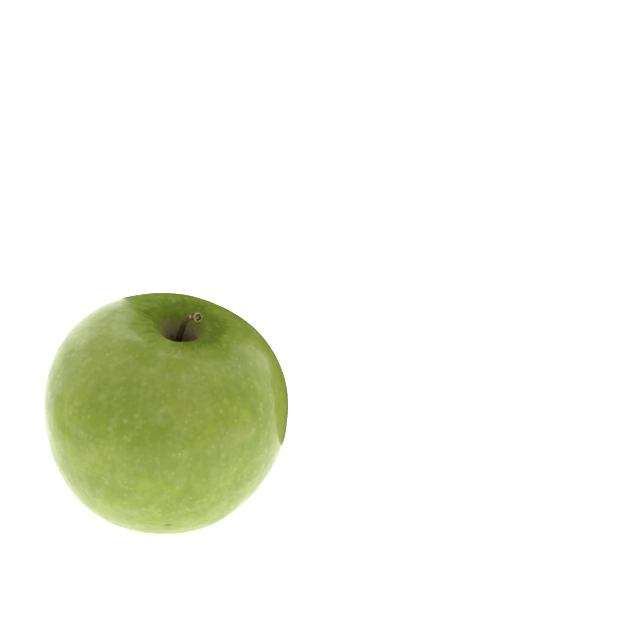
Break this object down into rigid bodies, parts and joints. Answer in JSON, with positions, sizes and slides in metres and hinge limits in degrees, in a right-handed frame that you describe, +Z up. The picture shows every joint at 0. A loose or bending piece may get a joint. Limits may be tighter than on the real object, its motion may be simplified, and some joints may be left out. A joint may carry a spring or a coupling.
{
  "type": "green apple",
  "caption": "Whole green apple with a bent woody stem in a funnel-shaped cavity and a dried calyx under it, standing on the lobes of its base.",
  "frame": {"origin": "on the surface that the apple stands on, under the middle of its outline", "axes": "+Z up through the core; -Y is the front, towards which the stem bends; the stem cavity opens to +X of the middle"},
  "size_m": [0.0748, 0.075, 0.0725],
  "materials": {
    "apple_skin": "waxy, satin, pale dots",
    "stem_bark": "dry, finely wrinkled",
    "calyx_husk": "dry, downy",
    "dried_filament": "dry, shrivelled"
  },
  "bodies": {
    "root": {"fruit": "apple_skin", "stem": "stem_bark", "calyx_sepals": "calyx_husk", "stamens": "dried_filament"}
  },
  "joints": []
}
